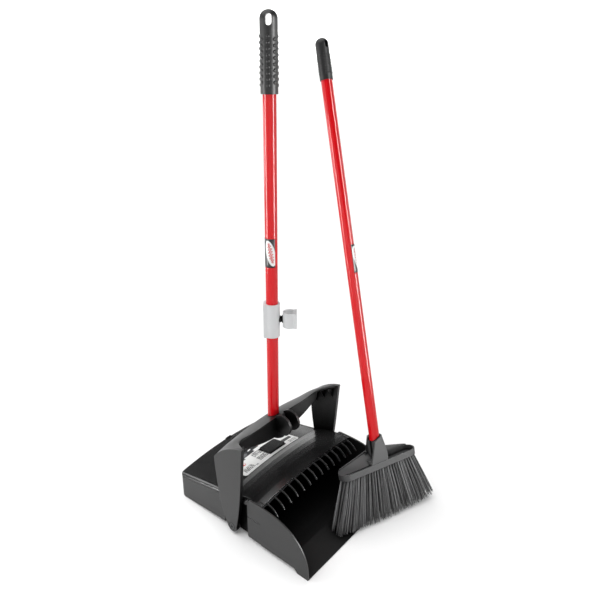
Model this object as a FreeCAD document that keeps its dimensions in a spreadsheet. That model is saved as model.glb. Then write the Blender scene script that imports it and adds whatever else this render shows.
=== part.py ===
import FreeCAD, Part
import Sketcher
import math
import os

# Long-handled lobby dustpan with a closed hood, and the angled-fibre broom that goes with it.
# Millimetres. +Z up, mouth of the pan towards -Y, origin on the floor under the middle of the pan.

os.makedirs("parts", exist_ok=True)
doc = FreeCAD.newDocument("lobby_pan_and_broom")
sheet = doc.addObject("Spreadsheet::Sheet", "Dims")

DIMENSIONS = [
    # pan moulding
    ("pan_half_width", 148), ("lip_reach", 180), ("comb_reach", 62), ("pan_rear", 183),
    ("wall", 3), ("side_lift", 8), ("step_reach", 154), ("crest_reach", 128), ("crest_height", 13),
    ("panel_top", 104), ("panel_rear", -25), ("panel_round", 12), ("corner_round", 14),
    ("lip_thick", 1.6), ("front_curve", 2.4), ("recess_rear", 41), ("recess_deep", 8),
    ("lug_out", 5), ("lug_tall", 10), ("lug_gap", 2.4),
    ("foot_half_wide", 60), ("foot_half_deep", 35), ("ledge_front", -58), ("ledge_height", 59),
    ("ledge_tall", 2.5), ("ledge_deep", 1.2), ("notch_front", -61), ("notch_top", 11.5),
    # hood
    ("hood_rear_top", 56), ("hood_slope", 0.2), ("hood_crown", 12), ("hood_bulge", 5),
    ("hood_skin", 2.5), ("crease", 29), ("shoulder", 11), ("shoulder_tall", 9), ("edge_gap", 0.3),
    ("pad_left", -8), ("pad_right", 41), ("pad_front", 40), ("pad_back", 76), ("pad_rise", 4),
    ("tab_half", 8), ("tab_out", 1.5),
    # comb
    ("tooth_count", 14), ("tooth_spread", 131), ("tooth_thick", 1.4), ("tooth_bend", 34),
    ("tooth_deep", 4), ("rail_deep", 5),
    # sticker on the hood
    ("label_left", -92), ("label_right", 79), ("label_front", 31), ("label_back", 99),
    ("label_thick", 0.3), ("label_round", 6), ("notch_gap", 1.5),
    # pivots
    ("pivot_back", 12), ("pivot_height", 18.3), ("boss_round", 12), ("pin_radius", 4),
    ("run_gap", 0.05), ("head_radius", 7), ("head_tall", 2.3), ("head_gap", 1.1), ("side_gap", 0.5),
    # bail
    ("leg_thick", 7.5), ("bar_rear", 55), ("bar_rear_end", 171), ("bar_rise", 19),
    ("bar_front", 16), ("bar_front_top", 205), ("horn_front", -23), ("horn_top", 221),
    ("crown_back", 10), ("crown_top", 209), ("bar_skin", 4), ("flare_start", 122),
    ("web_low", 157), ("web_end_low", 187), ("web_half", 120),
    ("socket_back", 38), ("socket_outer", 17), ("boss_back", 25), ("boss_radius", 16),
    ("socket_low", 152), ("socket_floor", 6), ("cheek_radius", 23), ("cheek_height", 192),
    ("cheek_thick", 5), ("cheek_space", 21),
    # pan handle
    ("tube_radius", 12), ("tube_wall", 1), ("tube_top", 936), ("fit_gap", 0.02),
    ("grip_radius", 15.2), ("grip_low", 839), ("grip_length", 129), ("slot_wide", 10),
    ("slot_long", 18), ("slot_drop", 15), ("handle_turn", -50),
    ("sticker_low", 530), ("sticker_tall", 56), ("sticker_thick", 0.2), ("sticker_wrap", 164),
    ("sticker_turn", 93),
    # broom clip on the pan handle
    ("sleeve_radius", 15.5), ("sleeve_low", 383), ("sleeve_tall", 70), ("block_out", 17),
    ("block_half", 13), ("block_in", 6), ("neck_radius", 8), ("neck_end", 21.3), ("clip_height", 419),
    ("clip_tall", 31), ("clip_inner", 11.6), ("clip_wall", 2.6), ("clip_open", 112),
    ("clip_lip", 2.1), ("screw_radius", 2.5), ("head_half", 4.6),
    ("head_sunk", 0.4), ("head_deep", 1.4),
    # broom
    ("broom_x", 89.5), ("broom_y", -198.8), ("broom_drop", 5), ("broom_turn", -17.43),
    ("broom_lean", 16.39), ("head_turn", -3), ("broom_radius", 11),
    ("broom_tube_low", 150), ("broom_tube_top", 951),
    ("broom_grip_low", 898), ("broom_grip_long", 76), ("broom_grip_radius", 12.6),
    ("broom_slot_wide", 7), ("broom_slot_long", 13), ("broom_slot_drop", 13), ("broom_grip_turn", 9),
    ("broom_sticker_low", 528.5), ("broom_sticker_turn", -104),
    # broom head
    ("block_half_long", 95), ("block_half_deep", 17), ("block_low", 117), ("block_tall", 13),
    ("ridge_rise", 25), ("rim", 3), ("slit", 5), ("pocket_floor", 3),
    ("cone_low", 27), ("cone_high", 15.5), ("cone_top", 183), ("cone_side", 17), ("flat_back", 0.6),
    ("sleeve_wall", 1.4), ("sleeve_drop", 7), ("opening_turn", 190), ("opening_half", 13),
    ("opening_low", 137), ("face_top", -10), ("face_low", -28), ("face_right", 7),
    # bristles
    ("row_count", 4), ("row_space", 8.4), ("tufts_in_row", 25), ("tuft_spread", 89),
    ("tuft_fan", 1.44), ("tuft_splay", 1.15), ("tuft_base", 2.6), ("tuft_tip", 3.7),
    ("tip_low", 5), ("tip_rise", 6), ("tip_clear", 2.8),
]
for line, (alias, number) in enumerate(DIMENSIONS, start=1):
    sheet.set(f"A{line}", alias)
    sheet.set(f"B{line}", str(number))
    sheet.setAlias(f"B{line}", alias)
doc.recompute()

V = FreeCAD.Vector
X_AXIS = V(1, 0, 0)
Y_AXIS = V(0, 1, 0)
Z_AXIS = V(0, 0, 1)
FAR = 400
nodes = []


def size(alias):
    return float(sheet.get(alias))


def keep(item, label):
    """Registers a finished piece under its node name."""
    item.Label = label
    nodes.append(item)
    return item


def moulding(label, shape):
    """A moulded piece whose curved shape is worked out from the sheet."""
    item = doc.addObject("Part::Feature", label)
    item.Shape = shape
    return keep(item, label)


def primitive(kind, name, at=("0", "0", "0"), turn=None, **sizes):
    """A Part primitive whose sizes and place are expressions on the sheet."""
    item = doc.addObject(kind, name)
    item.Placement = FreeCAD.Placement(V(), turn or FreeCAD.Rotation())
    for prop, expression in sizes.items():
        item.setExpression(prop, expression)
    for axis, expression in zip("xyz", at):
        item.setExpression(f"Placement.Base.{axis}", expression)
    return item


def fuse(name, items):
    item = doc.addObject("Part::MultiFuse", name)
    item.Shapes = items
    item.Refine = True
    return item


def cut(name, base, tool):
    item = doc.addObject("Part::Cut", name)
    item.Base = base
    item.Tool = tool
    return item


def block(low, high):
    return Part.makeBox(high[0] - low[0], high[1] - low[1], high[2] - low[2], V(*low))


def both_sides(shape):
    return shape.fuse(shape.mirror(V(), X_AXIS))


def side_prism(edges, half):
    """Extrudes an outline drawn in the Y-Z plane from -half to +half along X."""
    face = Part.Face(Part.Wire(edges))
    face.translate(V(-half, 0, 0))
    return face.extrude(V(2 * half, 0, 0))


def polyline(points):
    return [Part.LineSegment(a, b).toShape() for a, b in zip(points, points[1:])]


def arc(a, b, c):
    return Part.Arc(a, b, c).toShape()


def spline(points):
    curve = Part.BSplineCurve()
    curve.interpolate(points)
    return curve.toShape()


def at_side(y, z):
    return V(0, y, z)


def plan_prism(half, front, rear, round_radius):
    """A tall prism with the two rear corners rounded in plan."""
    prism = block((-half, front, -10), (half, rear, FAR))
    upright = [e for e in prism.Edges
               if abs(e.BoundBox.ZLength - FAR - 10) < 1 and e.BoundBox.YMin > rear - 1]
    return prism.makeFillet(round_radius, upright)


# ---------------------------------------------------------------- pan and hood

def straight_side(y):
    """Height of the straight line along the top of the hood's shoulder."""
    return size("hood_rear_top") + (size("pan_rear") - y) * size("hood_slope")


def seam_height(y):
    """Height of the joint line between the pan's walls and the hood."""
    return straight_side(y) - size("shoulder_tall")


def hood_side(y):
    """Height of the hood's shoulder: straight behind the crease, bulging in front of it."""
    crease, front = size("crease"), -size("comb_reach")
    if y >= crease:
        return straight_side(y)
    middle, reach = (crease + front) / 2, (crease - front) / 2
    return straight_side(y) + size("hood_bulge") * (1 - ((y - middle) / reach) ** 2)


def hood_top(y):
    """Height of the hood along its middle."""
    return hood_side(y) + size("hood_crown")


def ramp_height(y):
    """Top of the pan's floor between the lip and the crest of the ramp."""
    lip, crest = -size("lip_reach"), -size("crest_reach")
    share = min(max((y - lip) / (crest - lip), 0), 1)
    return size("lip_thick") + share * (size("crest_height") - size("lip_thick"))


def front_edge():
    """The swept front edge of a side wall, from the panel's top down to the lip."""
    comb, lip = -size("comb_reach"), -size("lip_reach")
    top, low = size("panel_top"), size("lip_thick")
    points = []
    steps = 12
    for step in range(steps + 1):
        turn = math.pi / 2 * step / steps
        back = math.sin(turn) ** (2 / size("front_curve"))
        rise = max(math.cos(turn), 0) ** (2 / size("front_curve"))
        points.append(at_side(comb + (lip - comb) * back, low + (top - low) * rise))
    return points


def pan_outline():
    lip, step = -size("lip_reach"), -size("step_reach")
    lift, rear = size("side_lift"), size("pan_rear")
    panel, top, corner = size("panel_rear"), size("panel_top"), size("panel_round")
    low = polyline([at_side(lip, size("lip_thick")), at_side(lip, 0), at_side(step, 0),
                    at_side(step + 8, lift), at_side(60, lift), at_side(rear - 17, 0)])
    heel = [arc(at_side(rear - 17, 0), at_side(rear - 5, 5), at_side(rear, 17))]
    back = polyline([at_side(rear, 17), at_side(rear, seam_height(rear)),
                     at_side(panel, seam_height(panel)), at_side(panel, top - corner)])
    shoulder = [arc(at_side(panel, top - corner),
                    at_side(panel - corner * 0.29, top - corner * 0.29),
                    at_side(panel - corner, top))]
    crest = polyline([at_side(panel - corner, top), at_side(-size("comb_reach"), top)])
    return low + heel + back + shoulder + crest + [spline(front_edge())]


def pan_cavity():
    lip, crest = -size("lip_reach"), -size("crest_reach")
    floor = size("side_lift") + size("wall")
    rear = size("pan_rear") - size("wall")
    thin = size("lip_thick")
    points = [at_side(lip - 5, thin), at_side(lip, thin), at_side(crest, size("crest_height")),
              at_side(crest + 24, floor), at_side(rear - 16, floor), at_side(rear, floor + 14),
              at_side(rear, FAR), at_side(lip - 5, FAR), at_side(lip - 5, thin)]
    return side_prism(polyline(points), size("pan_half_width") - size("wall"))


def below_seam():
    """Everything under the joint line between the pan and the hood."""
    front, rear = -size("lip_reach"), size("pan_rear") + 20
    corners = [at_side(front, seam_height(front)), at_side(rear, seam_height(rear)),
               at_side(rear, -20), at_side(front, -20)]
    return side_prism(polyline(corners + corners[:1]), FAR)


def build_pan_shell():
    half, wall = size("pan_half_width"), size("wall")
    rear, front = size("pan_rear"), -size("lip_reach") - 20
    inner = half - size("recess_deep")
    solid = side_prism(pan_outline(), half)
    solid = solid.common(plan_prism(half, front, rear, size("corner_round")))
    room = pan_cavity().common(plan_prism(half - wall, front, rear - wall, size("corner_round") - wall))
    shell = solid.cut(room)
    # each side wall steps in behind the front panel, where the leg of the bail passes
    recess_front, recess_back = size("panel_rear"), size("recess_rear")
    liner = block((inner - wall, recess_front - wall, size("side_lift")),
                  (half - 1, recess_back + wall, FAR))
    shell = shell.fuse(both_sides(liner).common(solid).common(below_seam()))
    recess = block((inner, recess_front, -5), (half + 5, recess_back, FAR))
    shell = shell.cut(both_sides(recess))
    # round boss that carries the pivot screw, and the lug that stops the leg upright
    boss = Part.makeCylinder(size("boss_round"), half - inner + wall,
                             V(inner - wall, size("pivot_back"), size("pivot_height")), X_AXIS)
    lug_front = size("recess_rear") + size("lug_gap")
    lug_low = seam_height(lug_front) - size("lug_tall") - 3
    lug = block((half - 1, lug_front, lug_low),
                (half + size("lug_out"), lug_front + 6, lug_low + size("lug_tall")))
    # low foot that holds the middle of the floor up off the ground
    foot_x, foot_y = size("foot_half_wide"), size("foot_half_deep")
    foot = block((-foot_x, -foot_y, 0), (foot_x, foot_y, size("side_lift") + 1))
    foot = foot.makeFillet(6, [e for e in foot.Edges if e.BoundBox.ZLength > size("side_lift")])
    shell = shell.fuse(both_sides(boss)).fuse(both_sides(lug)).fuse(foot)
    # a narrow groove across the front panel, and a rebate along its lower edge
    panel_back = size("panel_rear") + 1
    groove = block((half - size("ledge_deep"), size("ledge_front"), size("ledge_height")),
                   (half + 1, panel_back, size("ledge_height") + size("ledge_tall")))
    rebate = block((half - size("ledge_deep"), size("notch_front"), 0),
                   (half + 1, panel_back, size("notch_top")))
    shell = shell.cut(both_sides(groove)).cut(both_sides(rebate))
    bore = Part.makeCylinder(size("pin_radius"), 40,
                             V(inner - 20, size("pivot_back"), size("pivot_height")), X_AXIS)
    return shell.cut(both_sides(bore)).removeSplitter()


def hood_section(y, skin):
    """Closed cross-section of the hood at one y, set in by the given skin."""
    half = size("pan_half_width") - skin
    side = hood_side(y) - skin
    low = hood_side(y) - size("shoulder_tall")
    turn = size("shoulder")
    knee = V(half - turn * 0.29, y, low + (side - low) * 0.72)
    foot = low - size("hood_bulge") - 3
    left = [V(-half, y, foot), V(-half, y, low), V(-knee.x, y, knee.z), V(-half + turn, y, side)]
    right = [V(-p.x, y, p.z) for p in left]
    return Part.Face(Part.Wire([
        Part.LineSegment(right[0], right[1]).toShape(),
        arc(right[1], right[2], right[3]),
        arc(right[3], V(0, y, hood_top(y) - skin), left[3]),
        arc(left[3], left[2], left[1]),
        Part.LineSegment(left[1], left[0]).toShape(),
        Part.LineSegment(left[0], right[0]).toShape(),
    ]))


def hood_body(skin, front, rear):
    """Solid under the hood's skin, down to the joint line with the pan."""
    crease, steps = size("crease"), 6
    stations = [rear] + [crease + (front - crease) * step / steps for step in range(steps + 1)]
    body = None
    for back, ahead in zip(stations, stations[1:]):
        way = V(0, ahead - back, hood_side(ahead) - hood_side(back))
        piece = hood_section(back, skin).extrude(way)
        body = body.fuse(piece) if body else piece
    return body.cut(below_seam()).removeSplitter()


def build_hood_cover():
    half, skin = size("pan_half_width"), size("hood_skin")
    front, rear = -size("comb_reach"), size("pan_rear")
    outer = hood_body(0, front, rear)
    outer = outer.common(plan_prism(half, front - 20, rear, size("corner_round")))
    inner = hood_body(skin, front - 5, rear - skin)
    inner = inner.common(plan_prism(half - skin, front - 20, rear - skin, size("corner_round") - skin))
    cover = outer.cut(inner)
    # low pad on the lid, under the middle of the bail, and the snap tab at its rear edge
    pad = block((size("pad_left"), size("pad_front"), hood_top(size("pad_back")) - 9),
                (size("pad_right"), size("pad_back"), hood_top(size("pad_front")) + size("pad_rise")))
    pad = pad.makeFillet(5, [e for e in pad.Edges if e.BoundBox.ZLength > 15])
    pad_lid = hood_body(0, front, rear)
    pad_lid.translate(V(0, 0, size("pad_rise")))
    pad = pad.common(pad_lid).cut(inner)
    tab_top = hood_top(rear) + 1.5
    tab = block((-size("tab_half"), rear - 4, tab_top - 6),
                (size("tab_half"), rear + size("tab_out"), tab_top))
    cover = cover.fuse(pad).fuse(tab)
    # between the two front panels the hood is narrower by the thickness of a wall
    edge = half - size("wall") - size("edge_gap")
    notch = block((edge, front - 30, 0), (half + 5, size("panel_rear") + size("edge_gap"), FAR))
    return cover.cut(both_sides(notch)).removeSplitter()


def tooth_places():
    count = int(size("tooth_count"))
    spread = size("tooth_spread")
    return [-spread + 2 * spread * step / (count - 1) for step in range(count)]


def crown_at(x, y):
    """Height of the hood's skin over the point x, y."""
    half = size("pan_half_width") - size("shoulder")
    return hood_side(y) + (hood_top(y) - hood_side(y)) * (1 - (x / half) ** 2)


def build_comb(cover):
    """A rail under the hood's front edge with thin curved fins that reach forward and down."""
    front = -size("comb_reach")
    thick, bend, deep = size("tooth_thick"), size("tooth_bend"), size("tooth_deep")
    skin = size("hood_skin")
    edge = size("pan_half_width") - size("wall") - size("edge_gap")
    rear = size("pan_rear") - skin
    outside = hood_body(skin + 0.01, front - 5, rear)
    inside = hood_body(skin + size("rail_deep"), front - 5, rear)
    comb = outside.cut(inside).common(block((-edge, front, 0), (edge, front + 6, FAR)))
    for x in tooth_places():
        top = crown_at(x, front) - 1
        centre = V(0, front, top - bend)
        reach = math.radians(30)
        start_out, start_in = at_side(front + 3, top), at_side(front + 3, top - deep)
        outer = arc(at_side(front, top),
                    centre + V(0, -bend * math.sin(reach), bend * math.cos(reach)),
                    centre + V(0, -bend * math.sin(2 * reach), bend * math.cos(2 * reach)))
        small = bend - deep
        inner = arc(at_side(front, top - deep),
                    centre + V(0, -small * math.sin(reach), small * math.cos(reach)),
                    centre + V(0, -small * math.sin(2 * reach), small * math.cos(2 * reach)))
        tip = Part.LineSegment(outer.Vertexes[-1].Point, inner.Vertexes[-1].Point).toShape()
        root = polyline([at_side(front, top - deep), start_in, start_out, at_side(front, top)])
        face = Part.Face(Part.Wire(Part.__sortEdges__([outer, tip, inner] + root)))
        face.translate(V(x - thick / 2, 0, 0))
        fin = face.extrude(V(thick, 0, 0))
        comb = comb.fuse(fin)
    return comb.cut(cover).removeSplitter()


def build_hood_label():
    """A thin printed sheet on the lid, cut out round the pad."""
    thick = size("label_thick")
    lid = hood_body(0, -size("comb_reach"), size("pan_rear"))
    raised = lid.copy()
    raised.translate(V(0, 0, thick))
    sheet_block = block((size("label_left"), size("label_front"), 0),
                        (size("label_right"), size("label_back"), FAR))
    sheet_block = sheet_block.makeFillet(size("label_round"),
                                         [e for e in sheet_block.Edges if e.BoundBox.ZLength > 100])
    gap = size("notch_gap")
    notch = block((size("pad_left") - gap, size("pad_front") - gap, 0),
                  (size("pad_right") + gap, size("pad_back") + gap, FAR))
    return raised.cut(lid).common(sheet_block).cut(notch)


def build_pivot_screws():
    """Two shoulder screws: a plain pin through the leg into the boss, and a cross-slotted head."""
    half = size("pan_half_width")
    outside = half + size("side_gap") + size("leg_thick")
    inner = half - size("recess_deep") - size("wall")
    centre = V(inner, size("pivot_back"), size("pivot_height"))
    pin = Part.makeCylinder(size("pin_radius"), outside - size("head_tall") - inner, centre, X_AXIS)
    head_at = V(outside - size("head_tall"), centre.y, centre.z)
    head = Part.makeCylinder(size("head_radius"), size("head_tall"), head_at, X_AXIS)
    slot_deep = 1.2
    for turn in (0, 90):
        slot = Part.makeBox(slot_deep + 1, 1.6, 9, V(outside - slot_deep, centre.y - 0.8, centre.z - 4.5))
        slot.rotate(V(outside, centre.y, centre.z), X_AXIS, turn + 45)
        head = head.cut(slot)
    screw = pin.fuse(head)
    return Part.makeCompound([screw, screw.mirror(V(), X_AXIS)])


moulding("pan_shell", build_pan_shell())
hood_cover = moulding("hood_cover", build_hood_cover())
moulding("hood_comb", build_comb(hood_cover.Shape))
moulding("hood_label", build_hood_label())
moulding("pivot_screws", build_pivot_screws())


# ---------------------------------------------------------------- bail

def leg_face(x):
    """Outline of one leg: straight front, curved back, rounded foot round the pivot."""
    back, height, foot = size("pivot_back"), size("pivot_height"), size("boss_round") + 0.3
    rear, rear_top = size("bar_rear"), size("bar_rear_end")
    horn, horn_top = size("horn_front"), size("horn_top")
    front_foot = V(x, back - foot, height + 4)
    rear_foot = V(x, back + foot * 0.86, height - foot * 0.5)
    edges = [
        arc(V(x, rear, rear_top), V(x, size("crown_back"), size("crown_top")), V(x, horn, horn_top)),
        spline([V(x, horn, horn_top), V(x, -17.5, 148), V(x, -8, 60), front_foot]),
        arc(front_foot, V(x, back - foot * 0.1, height - foot), rear_foot),
        spline([rear_foot, V(x, 38.5, 55), V(x, 44.5, 82), V(x, 50.5, 120), V(x, rear, rear_top)]),
    ]
    return Part.Face(Part.Wire(edges))


def bar_section(x):
    """Cross-section of the bar's skin at one x: low at the back, and flared forward at the legs."""
    half = size("pan_half_width") + size("side_gap") + size("leg_thick")
    share = abs(x) / half
    start = size("flare_start") / half
    flare = max(share - start, 0) / (1 - start)
    flare = flare * flare * (3 - 2 * flare)
    rear_z = size("bar_rear_end") + size("bar_rise") * (1 - share ** 2)
    front_y = size("bar_front") + (size("horn_front") - size("bar_front")) * flare
    front_z = size("bar_front_top") + (size("horn_top") - size("bar_front_top")) * flare
    rear_y = size("bar_rear")
    mid_y = (rear_y + front_y) / 2
    bow = 1 + 9 * share ** 3
    mid_z = (rear_z + front_z) / 2 + bow
    thick = size("bar_skin")
    top = [V(x, rear_y, rear_z), V(x, mid_y, mid_z), V(x, front_y, front_z)]
    low = [p - V(0, 0, thick) for p in top]
    return Part.Wire([
        arc(*top),
        Part.LineSegment(top[2], low[2]).toShape(),
        arc(*reversed(low)),
        Part.LineSegment(low[0], top[0]).toShape(),
    ])


def build_bail():
    half = size("pan_half_width") + size("side_gap")
    thick = size("leg_thick")
    leg = leg_face(half).extrude(V(thick, 0, 0))
    pivot = V(half - 5, size("pivot_back"), size("pivot_height"))
    leg = leg.cut(Part.makeCylinder(size("pin_radius") + size("run_gap"), 40, pivot, X_AXIS))
    sink = V(half + thick - size("head_tall") - 0.1, pivot.y, pivot.z)
    leg = leg.cut(Part.makeCylinder(size("head_radius") + size("head_gap"), 20, sink, X_AXIS))
    outside = half + thick
    stations = [-outside, -150, -142, -134, -122, -90, -45, 0, 45, 90, 122, 134, 142, 150, outside]
    bar = Part.makeLoft([bar_section(x) for x in stations], True, False)
    # deep curved web under the front edge of the bar
    front, web = size("bar_front"), size("web_half")
    ends = [V(-web, front, size("web_end_low")), V(web, front, size("web_end_low"))]
    top = size("bar_front_top") - 2
    web_edges = [arc(ends[0], V(0, front, size("web_low")), ends[1])]
    web_edges += polyline([ends[1], V(web + 4, front, top), V(-web - 4, front, top), ends[0]])
    web_plate = Part.Face(Part.Wire(web_edges)).extrude(V(0, size("bar_skin"), 0))
    # round socket for the tube, with a half-round boss in front and two D-shaped cheeks
    low, socket = size("socket_low"), size("socket_back")
    column_tall = size("bar_front_top") - low
    column = Part.makeCylinder(size("socket_outer"), column_tall, V(0, socket, low))
    nose = Part.makeCylinder(size("boss_radius"), column_tall, V(0, size("boss_back"), low))
    column = column.fuse(nose)
    roof = Part.makeLoft([bar_section(x) for x in (-45, 0, 45)], True, False)
    sky = roof.copy()
    sky.translate(V(0, 0, size("bar_skin")))
    for lift in range(1, 8):
        layer = roof.copy()
        layer.translate(V(0, 0, lift * size("bar_skin") * 0.9))
        sky = sky.fuse(layer)
    column = column.cut(sky)
    cheek_at = V(size("cheek_space") / 2, 0, size("cheek_height"))
    cheek = Part.makeCylinder(size("cheek_radius"), size("cheek_thick"), cheek_at, X_AXIS)
    inner_leg = leg.fuse(gusset(half))
    bail = bar.fuse([web_plate, column, both_sides(cheek), both_sides(inner_leg)])
    bore = Part.makeCylinder(size("tube_radius") + size("fit_gap"), FAR,
                             V(0, socket, low + size("socket_floor")))
    screw = Part.makeCylinder(size("screw_radius"), 14, V(0, socket + 10, low + 20), Y_AXIS)
    return bail.cut(bore).cut(screw).removeSplitter()


def gusset(half):
    """Triangular ribs in the corner between a leg and the bar."""
    ribs = []
    for y, drop in ((-8, 214), (14, 204), (36, 186)):
        points = [V(half + 1, y, drop - 3), V(half - 15, y, drop - 4), V(half + 1, y, drop - 30)]
        face = Part.Face(Part.Wire(polyline(points + [points[0]])))
        ribs.append(face.extrude(V(0, 3, 0)))
    return ribs[0].fuse(ribs[1:])


moulding("bail", build_bail())


# ---------------------------------------------------------------- tubes, grips and stickers

def origin_plane(body, role):
    return [part for part in body.Origin.OriginFeatures if part.Role == role][0]


def ring_body(label, outer, inner, length):
    """A round tube: a sketch of two circles, padded."""
    body = doc.addObject("PartDesign::Body", label + "_body")
    sketch = body.newObject("Sketcher::SketchObject", label + "_ring")
    sketch.AttachmentSupport = [(origin_plane(body, "XY_Plane"), "")]
    sketch.MapMode = "FlatFace"
    for number, expression in enumerate((outer, inner)):
        sketch.addGeometry(Part.Circle(V(), Z_AXIS, 10 - number))
        sketch.addConstraint(Sketcher.Constraint("Coincident", number, 3, -1, 1))
        place = sketch.addConstraint(Sketcher.Constraint("Radius", number, 10 - number))
        sketch.setExpression(f"Constraints[{place}]", expression)
    pad = body.newObject("PartDesign::Pad", label + "_pad")
    pad.Profile = sketch
    pad.setExpression("Length", length)
    body.Tip = pad
    return keep(body, label)


def place_on_handle(item, height, turned=False):
    """Stands a piece on the axis of the pan's handle."""
    turn = size("handle_turn") if turned else 0
    item.Placement = FreeCAD.Placement(V(0, size("socket_back"), height),
                                       FreeCAD.Rotation(Z_AXIS, turn))


def broom_frame(height):
    """The broom's own frame: turned about the vertical, then leaned back."""
    turn = FreeCAD.Rotation(Z_AXIS, size("broom_turn"))
    lean = FreeCAD.Rotation(X_AXIS, -size("broom_lean"))
    rotation = turn.multiply(lean)
    foot = V(size("broom_x"), size("broom_y"), -size("broom_drop"))
    return FreeCAD.Placement(foot + rotation.multVec(V(0, 0, height)), rotation)


def grip_piece(label, radius, length, bore, bore_deep, slot_wide, slot_long, slot_drop):
    """A moulded grip: a barrel with a domed end, a blind bore and a hanging slot."""
    barrel = primitive("Part::Cylinder", label + "_barrel", Radius=radius, Height=length)
    doc.recompute()
    dome = doc.addObject("Part::Fillet", label + "_dome")
    dome.Base = barrel
    top_edge = [n for n, e in enumerate(barrel.Shape.Edges, start=1)
                if e.BoundBox.ZMin > barrel.Height.Value - 1][0]
    dome.Edges = [(top_edge, barrel.Radius.Value * 0.93, barrel.Radius.Value * 0.93)]
    hole = primitive("Part::Cylinder", label + "_bore", at=("0", "0", "-1"),
                     Radius=bore, Height=f"({bore_deep}) + 1")
    middle = f"({length}) - ({slot_drop})"
    half_flat = f"(({slot_long}) - ({slot_wide})) / 2"
    along_y = FreeCAD.Rotation(X_AXIS, -90)
    rounds = [primitive("Part::Cylinder", f"{label}_slot_{end}",
                        at=("0", "-30", f"{middle} {sign} {half_flat}"), turn=along_y,
                        Radius=f"({slot_wide}) / 2", Height="60")
              for end, sign in (("top", "+"), ("low", "-"))]
    straight = primitive("Part::Box", label + "_slot_mid",
                         at=(f"-({slot_wide}) / 2", "-30", f"{middle} - {half_flat}"),
                         Length=slot_wide, Width="60", Height=f"2 * {half_flat}")
    tools = fuse(label + "_cuts", [hole, straight] + rounds)
    return keep(cut(label + "_part", dome, tools), label)


pan_tube = ring_body("pan_tube", "Dims.tube_radius", "Dims.tube_radius - Dims.tube_wall",
                     "Dims.tube_top - Dims.socket_low - Dims.socket_floor")
place_on_handle(pan_tube, size("socket_low") + size("socket_floor"))

pan_grip = grip_piece("pan_grip", "Dims.grip_radius", "Dims.grip_length",
                      "Dims.tube_radius + Dims.fit_gap", "Dims.tube_top - Dims.grip_low + 1",
                      "Dims.slot_wide", "Dims.slot_long", "Dims.slot_drop")
place_on_handle(pan_grip, size("grip_low"), turned=True)


def sticker_piece(label, radius):
    """A thin printed sheet wrapped part of the way round a tube."""
    under = f"{radius} + Dims.fit_gap"
    around = primitive("Part::Cylinder", label + "_around", Radius=f"{under} + Dims.sticker_thick",
                       Height="Dims.sticker_tall", Angle="Dims.sticker_wrap")
    inside = primitive("Part::Cylinder", label + "_inside", Radius=under,
                       Height="Dims.sticker_tall")
    return keep(cut(label + "_sheet", around, inside), label)


def turned(frame, degrees):
    """The same frame, turned about its own upright axis."""
    return frame.multiply(FreeCAD.Placement(V(), FreeCAD.Rotation(Z_AXIS, degrees)))


tube_sticker = sticker_piece("tube_sticker", "Dims.tube_radius")
place_on_handle(tube_sticker, size("sticker_low"))
tube_sticker.Placement = turned(tube_sticker.Placement, size("sticker_turn"))

broom_tube = ring_body("broom_tube", "Dims.broom_radius", "Dims.broom_radius - Dims.tube_wall",
                       "Dims.broom_tube_top - Dims.broom_tube_low")
broom_tube.Placement = broom_frame(size("broom_tube_low"))

broom_grip = grip_piece("broom_grip", "Dims.broom_grip_radius", "Dims.broom_grip_long",
                        "Dims.broom_radius + Dims.fit_gap",
                        "Dims.broom_tube_top - Dims.broom_grip_low + 1",
                        "Dims.broom_slot_wide", "Dims.broom_slot_long", "Dims.broom_slot_drop")
broom_grip.Placement = turned(broom_frame(size("broom_grip_low")), size("broom_grip_turn"))

broom_sticker = sticker_piece("broom_sticker", "Dims.broom_radius")
broom_sticker.Placement = turned(broom_frame(size("broom_sticker_low")), size("broom_sticker_turn"))


# ---------------------------------------------------------------- broom clip on the pan's handle

def build_clip_sleeve():
    """A split sleeve round the tube: round on one side, squared off where it is pinched shut."""
    tall = size("sleeve_tall")
    round_part = Part.makeCylinder(size("sleeve_radius"), tall)
    out, half, start = size("block_out"), size("block_half"), size("block_in")
    ear = Part.makeBox(out - start, 2 * half, tall, V(-out, -half, 0))
    ear = ear.makeFillet(1.5, [e for e in ear.Edges if e.BoundBox.ZLength > tall - 1 and
                               e.BoundBox.XMax < -out + 1])
    bore = Part.makeCylinder(size("tube_radius") + size("fit_gap"), tall)
    sleeve = round_part.fuse(ear).cut(bore)
    slit = Part.makeBox(out, 1.2, tall, V(-out - 1, -0.6, 0))
    height = size("clip_height") - size("sleeve_low")
    screw_hole = Part.makeCylinder(size("screw_radius"), 20, V(8, 0, height), X_AXIS)
    return sleeve.cut(slit).cut(screw_hole).removeSplitter()


def clip_centre(height):
    """A point on the axis of the C, in the sleeve's own frame."""
    return V(size("neck_end") + size("clip_inner") + size("clip_wall") - 0.6, 0, height)


def build_clip_neck():
    """The dark waisted spacer that joins the clip to the sleeve."""
    end, start = size("neck_end"), size("sleeve_radius")
    radius = size("neck_radius")
    middle = (start + end) / 2
    height = size("clip_height") - size("sleeve_low")
    inner = start - 3
    first = Part.makeCone(radius, radius * 0.75, middle - inner, V(inner, 0, height), X_AXIS)
    second = Part.makeCone(radius * 0.75, radius * 1.1, end - middle, V(middle, 0, height), X_AXIS)
    sleeve = Part.makeCylinder(size("sleeve_radius"), size("sleeve_tall"))
    ring = Part.makeCylinder(size("clip_inner") + size("clip_wall"), size("sleeve_tall"), clip_centre(0))
    neck = first.fuse(second).cut(sleeve).cut(ring)
    hole = Part.makeCylinder(size("screw_radius"), 30, V(8, 0, height), X_AXIS)
    return neck.cut(hole).removeSplitter()


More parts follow.
